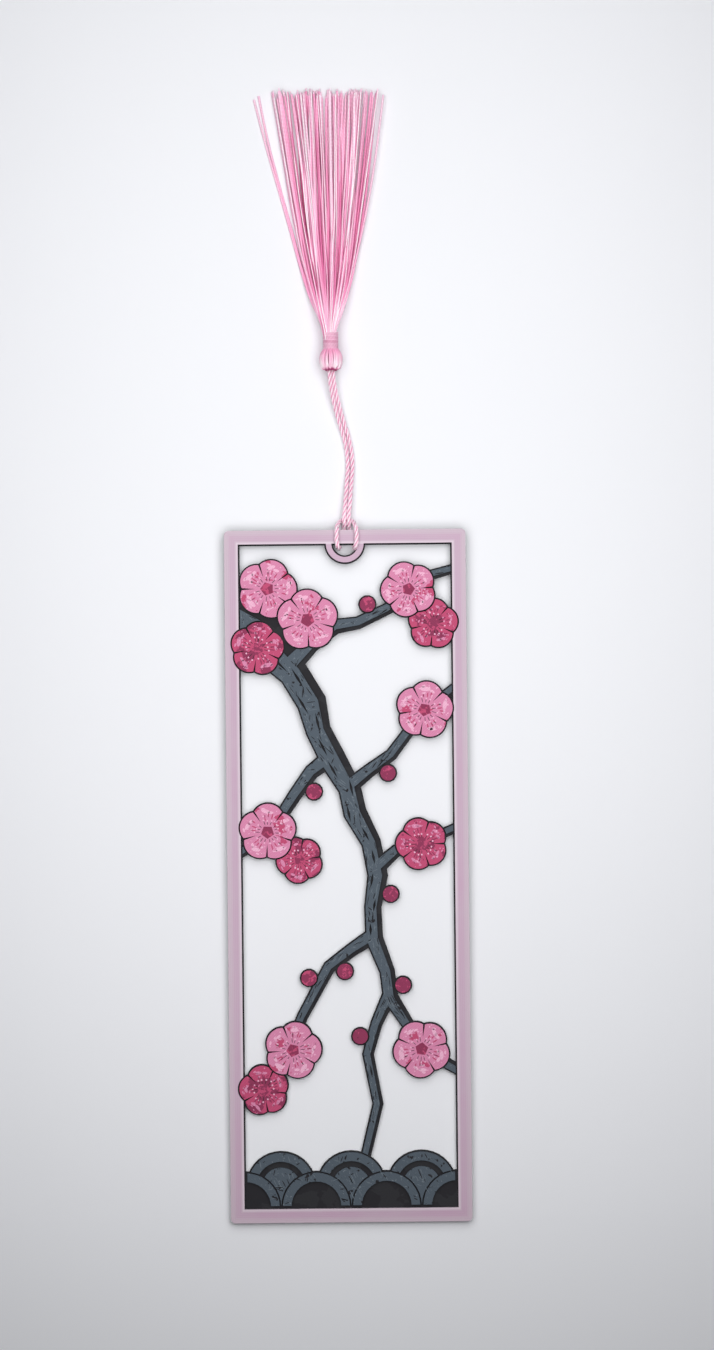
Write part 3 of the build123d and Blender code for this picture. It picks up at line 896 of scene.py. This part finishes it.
def round_axis(radius, along, angle):
    """A place round the tassel's axis."""
    return Vector((AXIS_X + radius * math.cos(angle), MOUTH_Y + along, AXIS_Z + radius * math.sin(angle)))


def thread_piece(name, paths, radius, tone, material, *shape, **quality):
    """Threads along paths, each with its tones, that ride on the tassel."""
    mesh = curve_mesh(name, paths, radius, *shape, **quality)
    give_tones(mesh, len(paths), tone)
    return mesh_piece(name, mesh, "tassel", material)


def make_core(bulge, neck_along, material):
    """The head's core, spun round the tassel's axis, with a mouth that takes the cord."""
    end_along = HEAD_HIGH.y - MOUTH_Y
    profile = [
        (0.0, 2.2 * MM), (1.15 * MM, 2.2 * MM), (1.20 * MM, 0.15 * MM), (0.52 * bulge, 0.02 * MM),
        (0.62 * bulge, 0.16 * neck_along), (0.76 * bulge, 0.40 * neck_along),
        (0.70 * bulge, 0.68 * neck_along), (0.52 * bulge, 0.90 * neck_along), (0.42 * bulge, neck_along),
        (0.42 * bulge, end_along), (0.0, end_along),
    ]
    bm = bmesh.new()
    rim = [bm.verts.new((AXIS_X + radius, MOUTH_Y + along, AXIS_Z)) for radius, along in profile]
    edges = [bm.edges.new(pair) for pair in zip(rim, rim[1:])]
    bmesh.ops.spin(
        bm, geom=rim + edges, cent=(AXIS_X, 0, AXIS_Z), axis=(0, 1, 0), angle=2 * math.pi, steps=40,
        use_merge=True,
    )
    bmesh.ops.remove_doubles(bm, verts=bm.verts, dist=1e-6)
    core = bmesh_piece("head_core", bm, "tassel", material, smooth=True)
    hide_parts("tassel_head")


# Tones of the head's threads at the neck and under the mouth, darker as painted shade
NECK_SHADE_TONE = 0.42
MOUTH_SHADE_TONE = 0.08
# Turns of the knot in the head, and places on one turn
KNOT_TURNS = 2
KNOT_STEPS = 12


def make_head():
    """The gathered head: a core under threads that run over it from the mouth to the neck."""
    look = bpy.context.scene.tassel_look
    material = thread_material("tassel_silk", 40, 2, look.deep, look.mid, look.bright)
    # The core takes the colour of thread in deep shade: painted shade between the head's threads
    core_shade = thread_material("core_shade_silk", 40, 2, look.deep, look.dark, look.mid)
    rng = random.Random(SEEDS["head"])
    bulge = (HEAD_HIGH.x - HEAD_LOW.x) / 2
    neck_along = WRAP_LOW.y - MOUTH_Y
    make_core(bulge, neck_along, core_shade)
    thread = 0.56 * look.thread
    over = bulge - thread
    paths = []
    for index in range(look.head_threads):
        angle = 2 * math.pi * (index + rng.uniform(-0.15, 0.15)) / look.head_threads
        swell = rng.uniform(0.94, 1.0)
        lean = rng.uniform(-0.07, 0.07)
        fold = rng.uniform(-0.02, 0.09)
        stops = [
            (0.52 * over, 0.34 + fold), (0.56 * over, 0.16 + fold), (0.80 * over, 0.10 + fold),
            (1.04 * over, 0.24 + fold), (1.08 * over, 0.46), (1.05 * over, 0.70), (0.82 * over, 0.90),
            (0.60 * over, 1.04),
        ]
        path = [round_axis(r * swell, share * neck_along, angle + lean * share) for r, share in stops]
        paths.append([Vector((place.x, place.y, max(place.z, SURFACE + thread))) for place in path])
    tones = [rng.uniform(0.5, 1.0) ** 0.8 for _ in paths]

    def head_tone(index, share):
        """Dark under the mouth's folds, and darker where the threads run in under the winding."""
        mouth_shade = clamp((0.34 - share) / 0.12)
        neck_shade = clamp((share - 0.50) / 0.40)
        tone = tones[index] + (NECK_SHADE_TONE - tones[index]) * neck_shade
        return tone + (MOUTH_SHADE_TONE - tone) * mouth_shade

    thread_piece("head_threads", paths, thread, head_tone, material, "NURBS", resolution=3)
    turns = []
    for step in range(KNOT_TURNS * KNOT_STEPS + 1):
        turn = step / KNOT_STEPS
        turns.append(round_axis(0.7 * MM, (1.6 + 0.5 * turn) * MM, 2 * math.pi * turn))
    mesh = curve_mesh("cord_knot", [turns], 0.4 * MM)
    knot = mesh_piece("cord_knot", mesh, "tassel", material)
    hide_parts("loop_knot")


# The winding goes this far past its solid at both ends and outward, and has so many places on a turn
WRAP_MARGIN = 0.2 * MM
WRAP_PROUD = 0.08 * MM
WRAP_STEPS = 24


def make_wrap():
    """Thread wound closely round the neck."""
    look = bpy.context.scene.tassel_look
    material = thread_material("wrap_silk", 200, 2, look.deep, look.winding, look.light)
    rng = random.Random(SEEDS["wrap"])
    height = WRAP_HIGH.y - WRAP_LOW.y + 2 * WRAP_MARGIN
    pitch = height / (look.wrap_turns + 1)
    radius = 0.52 * pitch
    reach = (WRAP_HIGH.x - WRAP_LOW.x) / 2 - radius + WRAP_PROUD
    path = []
    for step in range(look.wrap_turns * WRAP_STEPS + 1):
        along = WRAP_LOW.y - WRAP_MARGIN - MOUTH_Y + radius + pitch * step / WRAP_STEPS
        path.append(round_axis(reach, along, 2 * math.pi * step / WRAP_STEPS))
    tones = [rng.uniform(0.34, 0.74) for _ in range(look.wrap_turns)]

    def turn_tone(index, share):
        return tones[int(share * look.wrap_turns)]

    wrap = thread_piece("neck_winding", [path], radius, turn_tone, material)
    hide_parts("neck_wrap")


# Shares of the skirt's length and of its spread, for the fan and for the stray threads
FAN = (
    (-0.03, 0.09), (0.015, 0.12), (0.08, 0.23), (0.21, 0.40), (0.35, 0.54), (0.49, 0.66), (0.75, 0.85),
    (1.0, 1.0),
)
STRAY_WAY = (
    (-0.02, 0.03), (0.025, 0.075), (0.10, 0.21), (0.21, 0.34), (0.42, 0.52), (0.62, 0.70), (0.80, 0.865),
    (0.97, 1.0),
)
# How far each stray forks off at its tip, in millimetres, and its length as a share of the skirt's
STRAYS = ((0.0, 0.985), (0.8, 1.0))
# From the neck, the threads come down to the surface over this share of their length
FALL = 0.24
# The fan leans this far to the left at its tips, in metres
FAN_LEAN = -0.55 * MM
FAN_HALF = (SKIRT_HIGH.x - SKIRT_LOW.x) / 2 * 0.95
FAN_MIDDLE = (SKIRT_LOW.x + SKIRT_HIGH.x) / 2 - FAN_LEAN / 2
SWAY = 0.24 * MM
LIFT = 0.12 * MM
# A painted highlight's diameter: a bright strand on a thread's crest, and the share of threads that carry
# one
GLINT_DIAMETER = 0.26 * MM
GLINT_SHARE = 0.55


def thread_path(across, layer, length, rng):
    """One thread of the fan, from the neck to its tip."""
    thick = bpy.context.scene.tassel_look.thread
    phase = rng.uniform(0, 2 * math.pi)
    waves = rng.uniform(0.7, 1.9)
    drift = rng.gauss(0, 0.5 + 0.35 * layer) * MM
    crossing = -across * rng.uniform(0.2, 0.5) if rng.random() < 0.2 else 0.0
    low = SURFACE + thick / 2 + layer * thick * 0.9
    high = AXIS_Z + (layer - 1) * thick * 2.5 * math.sqrt(max(0.05, 1 - 0.8 * across**2))
    path = []
    for share, spread in FAN:
        sway = SWAY * math.sin(phase + 2 * math.pi * waves * share) * min(1, max(share, 0) * 4)
        x = FAN_MIDDLE + across * spread * FAN_HALF + FAN_LEAN * share**2 + sway + drift * max(share, 0)
        x += crossing * FAN_HALF * max(share - 0.25, 0)
        fall = clamp(share / FALL)
        fall = fall * fall * (3 - 2 * fall)
        lift = LIFT * math.sin(2 * phase + 5 * share) * fall
        z = max(high + (low - high) * fall + lift, SURFACE + thick / 2)
        path.append(Vector((x, SKIRT_Y + share * length, z)))
    return path


def painted_glint_path(path, rng):
    """A fine filament along the crest of a thread."""
    thread = bpy.context.scene.tassel_look.thread
    aside = rng.uniform(-0.3, 0.3) * thread
    rise = math.sqrt((0.5 * thread) ** 2 - aside**2) - 0.1 * GLINT_DIAMETER
    return [place + Vector((aside, 0, rise)) for place in path]


def frayed_tip(path, rng):
    """Two fine fibres that open at the end of a thread."""
    heading = (path[-1] - path[-2]).normalized()
    fibres = []
    thread = bpy.context.scene.tassel_look.thread
    for _ in range(2):
        sideways = Vector((rng.uniform(-0.22, 0.22), 0, rng.uniform(0, 0.08)))
        reach = rng.uniform(0.4, 0.95) * MM
        start = path[-1] - heading * 0.2 * MM
        start = start + Vector((rng.uniform(-0.3, 0.3), 0, rng.uniform(-0.2, 0.3))) * thread
        fibres.append([start, start + heading * reach * 0.5, start + (heading + sideways) * reach])
    return fibres


def make_skirt():
    """Three layers of fanned threads with frayed tips, two strays, and bright filaments."""
    look = bpy.context.scene.tassel_look
    # The lowest layer's dark end is the deep colour: painted shade under the layers above
    materials = [
        thread_material(f"skirt_silk_{level}", 160, 1, shade, look.mid, look.light)
        for level, shade in (("lower", look.deep), ("middle", look.dark), ("upper", look.dark))
    ]
    # The frayed fibres take only the colours of thread in light and of painted highlights: painted light on
    # the tips
    fray_material = thread_material("frayed_silk", 8, 1, look.light, look.light, look.bright)
    glint_material = thread_material("painted_glint_silk", 160, 1, look.mid, look.light, look.bright, gloss=1.0)
    length = SKIRT_HIGH.y - SKIRT_Y
    fine = {"resolution": 5}
    glints = []
    for layer, (node, row_share) in enumerate(SKIRT_LAYERS.items()):
        rng = random.Random(SEEDS["skirt"] + layer)
        paths = []
        count = round(look.row_threads * row_share)
        for index in range(count):
            across = 2 * (index + rng.uniform(-0.35, 0.35)) / (count - 1) - 1
            paths.append(thread_path(max(-1, min(1, across)), layer, length * rng.uniform(0.955, 0.99), rng))
        tones = thread_tones(len(paths), rng, tip=0.4, root=1.5)
        threads = thread_piece(
            f"{node}_threads", paths, look.thread / 2, tones, materials[layer], "NURBS", **fine
        )
        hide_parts(node)
        fibres = [fibre for path in paths for fibre in frayed_tip(path, rng)]
        tones = thread_tones(len(fibres), rng)
        thread_piece(f"{node}_fray", fibres, 0.2 * look.thread, tones, fray_material, bevel_resolution=0)
        glints += [painted_glint_path(path, rng) for path in paths if layer and rng.random() < GLINT_SHARE]
    make_strays(materials[-1], length, fine)
    tones = thread_tones(len(glints), random.Random(SEEDS["painted_glints"]), tip=0.6, root=1.5)
    thread_piece(
        "skirt_painted_glints", glints, GLINT_DIAMETER / 2, tones, glint_material, "NURBS", bevel_resolution=0, **fine
    )


def make_strays(material, length, fine):
    """Two threads that have come away on the left and fork near their tips."""
    look = bpy.context.scene.tassel_look
    rng = random.Random(SEEDS["strays"])
    left_edge = STRAY_LOW.x + look.thread / 2
    low = SURFACE + look.thread / 2
    paths = []
    for fork, reach in STRAYS:
        aside = 0.24 * look.thread * (1 if fork else -1)
        path = []
        for share, spread in STRAY_WAY:
            x = AXIS_X + (left_edge - AXIS_X) * spread + fork * MM * (max(0, share) / 0.97) ** 6 + aside
            z = AXIS_Z + (low - AXIS_Z) * clamp(share / FALL)
            path.append(Vector((x, SKIRT_Y + share * reach * length, z)))
        paths.append(path)
    tones = thread_tones(len(paths), rng, tip=0.1, root=0.5)
    strays = thread_piece("stray_threads", paths, look.thread / 2, tones, material, "NURBS", **fine)
    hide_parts("stray_strands")


# Stage

# The floor's half size in metres, and how far it lies under what rests on it
FLOOR_HALF = 2.0
FLOOR_GAP = 0.005 * MM
# Half the picture with a margin, across and along, as shares of its height
PICTURE_HALF = (0.27, 0.505)
# Where each lamp hangs, its width and its length, and where both aim, in metres
TOP_LAMP = ((0.0, 0.10, 0.17), 0.26, 0.36)
SIDE_LAMP = ((0.42, 0.35, 0.95), 0.31, 0.31)
LAMP_AIM = Vector((0, 0.10, 0))
FLOOR_GREY = (220, 221, 227)
SKY_WHITE = (250, 251, 255)


def backdrop_rays(tree):
    """One for the rays that show the backdrop: those of the camera and of reflections."""
    rays = tree.nodes.new("ShaderNodeLightPath").outputs
    through = math_node(tree, "MAXIMUM", rays["Is Glossy Ray"], rays["Is Transmission Ray"])
    return math_node(tree, "MAXIMUM", rays["Is Camera Ray"], through)


def blend_shaders(tree, factor, first, second, result):
    """Two shaders blended by a factor, as what the tree puts out."""
    blend = add_node(tree, "MixShader", {0: factor, 1: first.outputs[0], 2: second.outputs[0]})
    tree.links.new(blend.outputs[0], tree.nodes[result].inputs["Surface"])


def floor_material():
    """Pale floor that turns into the even backdrop beyond the picture."""
    look = bpy.context.scene.stage_look
    material, tree, shader, coordinates = new_material("pale_floor", roughness=0.9, gloss=0.1)
    noise = add_node(tree, "TexNoise", {"Vector": coordinates["Object"], "Scale": 30})
    faint = math_node(tree, "MULTIPLY", noise.outputs["Fac"], 0.05)
    tree.links.new(mix_colours(tree, faint, look.floor, srgb(*FLOOR_GREY)), shader.inputs["Base Color"])
    places = split_place(tree, coordinates)
    squares = []
    for place, middle, share in zip(places, (look.view_x, look.view_y), PICTURE_HALF):
        from_middle = math_node(tree, "ABSOLUTE", math_node(tree, "SUBTRACT", place, middle))
        past = math_node(tree, "SUBTRACT", from_middle, share * look.view_height)
        outside = math_node(tree, "MAXIMUM", past, 0.0)
        squares.append(math_node(tree, "MULTIPLY", outside, outside))
    beyond = math_node(tree, "SQRT", math_node(tree, "ADD", *squares))
    fade = add_node(tree, "MapRange", {"Value": beyond, "From Max": look.floor_fade})
    factor = math_node(tree, "MULTIPLY", fade.outputs["Result"], backdrop_rays(tree))
    glow = add_node(tree, "Emission", {"Color": look.backdrop})
    blend_shaders(tree, factor, shader, glow, "Material Output")
    return material


def hang_lamp(name, place, width, length, power):
    """A wide soft lamp that faces the tassel's end of the bookmark."""
    lamp = bpy.data.lights.new(name, "AREA")
    lamp.shape = "RECTANGLE"
    lamp.size = width
    lamp.size_y = length
    lamp.energy = power
    holder = new_object(name, lamp)
    holder.location = place
    holder.rotation_euler = (LAMP_AIM - holder.location).to_track_quat("-Z", "Y").to_euler()
    holder.visible_camera = False


def make_stage():
    """A floor that meets the panel's foot and, past the hitch that props it up, the tassel."""
    look = bpy.context.scene.stage_look
    scene = bpy.context.scene
    bm = bmesh.new()
    bmesh.ops.create_grid(bm, x_segments=1, y_segments=1, size=FLOOR_HALF)
    foot = PANEL_LOW.y - FLOOR_GAP
    for end in (foot, HITCH_LOW.y):
        geometry = bm.verts[:] + bm.edges[:] + bm.faces[:]
        bmesh.ops.bisect_plane(bm, geom=geometry, plane_co=(0, end, 0), plane_no=(0, 1, 0))
    bmesh.ops.translate(bm, verts=bm.verts, vec=(0, 0, SURFACE - FLOOR_GAP))
    foot_verts = [vertex for vertex in bm.verts if vertex.co.y < foot + FLOOR_GAP]
    bmesh.ops.translate(bm, verts=foot_verts, vec=(0, 0, BASE_LOW.z - SURFACE))
    floor = new_object("floor", mesh_from("floor", bm))
    floor.data.materials.append(floor_material())

    hang_lamp("top_lamp", *TOP_LAMP, look.top_power)
    hang_lamp("side_lamp", *SIDE_LAMP, look.side_power)

    scene.world = bpy.data.worlds.new("soft_sky")
    scene.world.use_nodes = True
    tree = scene.world.node_tree
    sky = tree.nodes["Background"]
    feed(tree, srgb(*SKY_WHITE), sky.inputs["Color"])
    feed(tree, look.sky, sky.inputs["Strength"])
    backdrop = add_node(tree, "Background", {"Color": look.backdrop})
    blend_shaders(tree, backdrop_rays(tree), sky, backdrop, "World Output")

    lens = bpy.data.cameras.new("camera")
    lens.lens = lens.sensor_width * look.view_distance / look.view_height
    lens.clip_end = 10
    camera = new_object("camera", lens)
    camera.location = (look.view_x, look.view_y, PANEL_HIGH.z + look.view_distance)
    camera.rotation_euler = (0, 0, look.lean)
    scene.camera = camera
    scene.view_settings.view_transform = "Standard"


# Operators

class BOOKMARK_OT_stage(bpy.types.Operator):
    """Lay the floor, hang the lamps and set the camera"""

    bl_idname = "bookmark.stage"
    bl_label = "Stage"

    def execute(self, context):
        make_stage()
        return {"FINISHED"}


class BOOKMARK_OT_cord(bpy.types.Operator):
    """Twist the cord round the bar and up to the tassel"""

    bl_idname = "bookmark.cord"
    bl_label = "Cord"

    def execute(self, context):
        make_cord()
        return {"FINISHED"}


class BOOKMARK_OT_prints(bpy.types.Operator):
    """Finish the printed layers"""

    bl_idname = "bookmark.prints"
    bl_label = "Printed layers"

    def execute(self, context):
        finish_prints()
        return {"FINISHED"}


class BOOKMARK_OT_details(bpy.types.Operator):
    """Print the fine details of blossoms and bark"""

    bl_idname = "bookmark.details"
    bl_label = "Print details"

    def execute(self, context):
        print_blossoms()
        print_bark()
        return {"FINISHED"}


class BOOKMARK_OT_head(bpy.types.Operator):
    """Gather the tassel's head"""

    bl_idname = "bookmark.head"
    bl_label = "Tassel head"

    def execute(self, context):
        make_head()
        return {"FINISHED"}


class BOOKMARK_OT_wrap(bpy.types.Operator):
    """Wind the thread round the neck"""

    bl_idname = "bookmark.wrap"
    bl_label = "Neck winding"

    def execute(self, context):
        make_wrap()
        return {"FINISHED"}


class BOOKMARK_OT_skirt(bpy.types.Operator):
    """Fan out the tassel's threads"""

    bl_idname = "bookmark.skirt"
    bl_label = "Tassel skirt"

    def execute(self, context):
        make_skirt()
        return {"FINISHED"}


OPERATORS = (
    BOOKMARK_OT_stage, BOOKMARK_OT_prints, BOOKMARK_OT_details, BOOKMARK_OT_head, BOOKMARK_OT_wrap,
    BOOKMARK_OT_skirt, BOOKMARK_OT_cord,
)


class BOOKMARK_PT_panel(bpy.types.Panel):
    """The bookmark's pieces"""

    bl_idname = "BOOKMARK_PT_panel"
    bl_label = "Bookmark"
    bl_space_type = "VIEW_3D"
    bl_region_type = "UI"
    bl_category = "Bookmark"

    def draw(self, context):
        for operator in OPERATORS:
            self.layout.operator(operator.bl_idname)
        for name, look in LOOKS.items():
            column = self.layout.column(heading=look.__doc__)
            for value in look.__annotations__:
                column.prop(getattr(context.scene, name), value)


CLASSES = (*LOOKS.values(), *OPERATORS, BOOKMARK_PT_panel)


def register():
    for kind in CLASSES:
        bpy.utils.register_class(kind)
    for name, look in LOOKS.items():
        setattr(bpy.types.Scene, name, PointerProperty(type=look))


def unregister():
    for name in LOOKS:
        delattr(bpy.types.Scene, name)
    for kind in reversed(CLASSES):
        bpy.utils.unregister_class(kind)


def main():
    register()
    bpy.ops.bookmark.stage()
    bpy.ops.bookmark.prints()
    bpy.ops.bookmark.details()
    bpy.ops.bookmark.head()
    bpy.ops.bookmark.wrap()
    bpy.ops.bookmark.skirt()
    bpy.ops.bookmark.cord()


if __name__ == "__main__":
    main()
